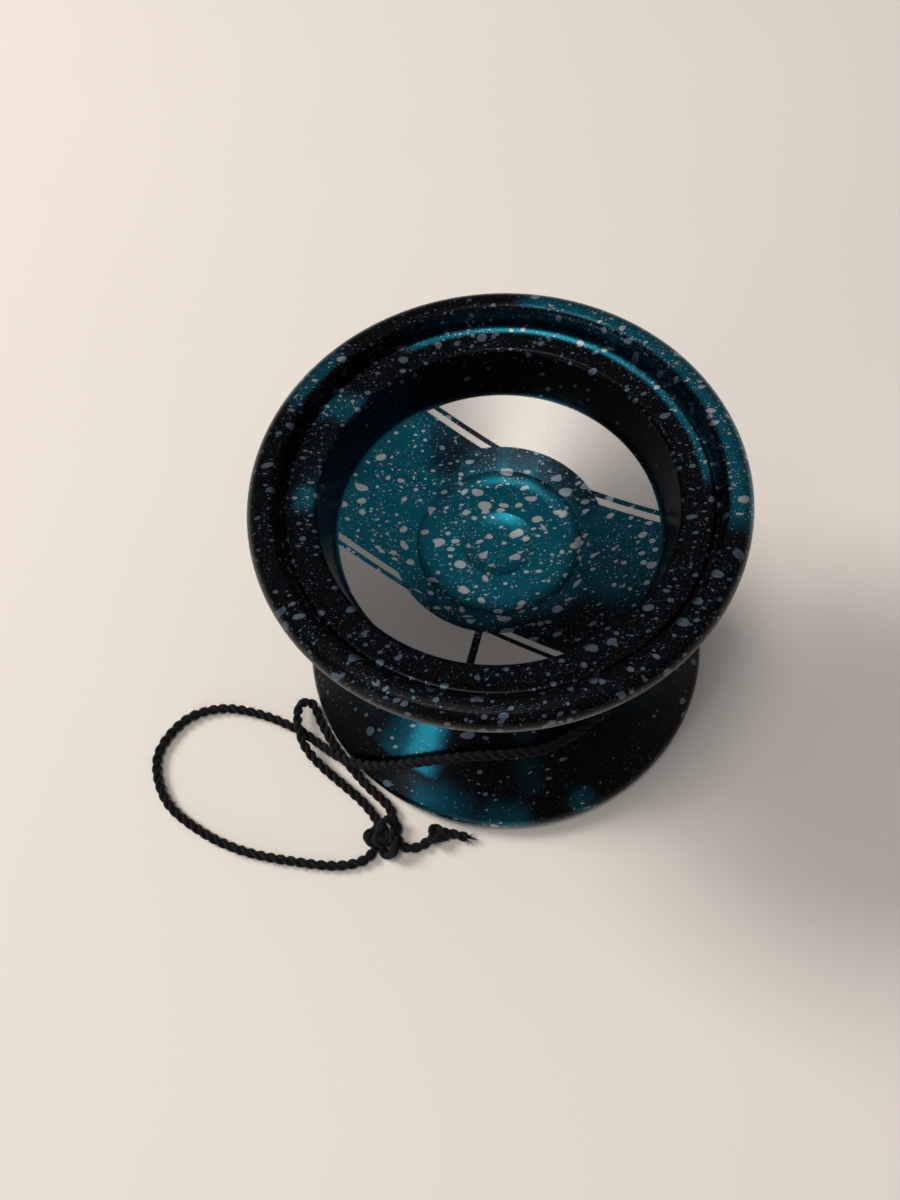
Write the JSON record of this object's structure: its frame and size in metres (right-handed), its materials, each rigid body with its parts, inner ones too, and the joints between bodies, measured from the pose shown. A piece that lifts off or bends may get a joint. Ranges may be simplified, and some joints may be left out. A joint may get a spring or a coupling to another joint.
{
  "type": "yo-yo",
  "caption": "Bearing yo-yo: two bored metal halves clamped on a ball bearing by an axle screw, with silicone pads, a wound string, a finger loop and knots.",
  "frame": {"origin": "centre of the flat the lower half's rim rests on, on the axle's axis", "axes": "+Z along the axle from the lower half to the upper half; +X and +Y lie in the surface it stands on"},
  "size_m": [0.08, 0.058, 0.043],
  "materials": {
    "anodised_upper": "bead-blasted and anodised in teal and black splashes with bare silver specks",
    "anodised_lower": "bead-blasted and anodised in teal and black splashes with bare silver specks",
    "silicone": "matte translucent white",
    "axle_steel": "black-oxide steel",
    "bearing_steel": "ground and polished",
    "ball_steel": "mirror polish",
    "string_fibre": "spun polyester, slightly fuzzy"
  },
  "bodies": {
    "lower_side": {"lower_half": "anodised_lower", "response_pad_lower": "silicone", "axle_screw": "axle_steel"},
    "string_side": {"bearing_outer_race": "bearing_steel", "bearing_shield_lower": "bearing_steel", "bearing_shield_upper": "bearing_steel", "bearing_snap_ring_lower": "bearing_steel", "bearing_snap_ring_upper": "bearing_steel", "string_winding": "string_fibre", "string": "string_fibre", "finger_knot": "string_fibre", "end_knot": "string_fibre"},
    "ball_cage": {"bearing_cage": "bearing_steel", "bearing_ball_1": "ball_steel", "bearing_ball_2": "ball_steel", "bearing_ball_3": "ball_steel", "bearing_ball_4": "ball_steel", "bearing_ball_5": "ball_steel", "bearing_ball_6": "ball_steel", "bearing_ball_7": "ball_steel", "bearing_ball_8": "ball_steel"},
    "inner_race": {"bearing_inner_race": "bearing_steel"},
    "upper_side": {"upper_half": "anodised_upper", "response_pad_upper": "silicone"}
  },
  "joints": [
    {"name": "spin", "type": "hinge", "parent": "lower_side", "child": "string_side", "pos_m": [0, 0, 0.0215], "axis": [0, 0, 1], "continuous": true},
    {"name": "cage_orbit", "type": "hinge", "parent": "lower_side", "child": "ball_cage", "pos_m": [0, 0, 0.0215], "axis": [0, 0, 1], "continuous": true},
    {"name": "unscrew", "type": "hinge", "parent": "lower_side", "child": "inner_race", "pos_m": [0, 0, 0.0215], "axis": [0, 0, 1], "range_deg": [0, 2881]},
    {"name": "lift", "type": "slide", "parent": "inner_race", "child": "upper_side", "axis": [0, 0, 1], "range_m": [0, 0.0056]}
  ],
  "couplings": [
    {"joint": "cage_orbit", "follows": "spin", "ratio": 0.5833},
    {"joint": "unscrew", "follows": "lift", "rad_per_m": 8976}
  ]
}
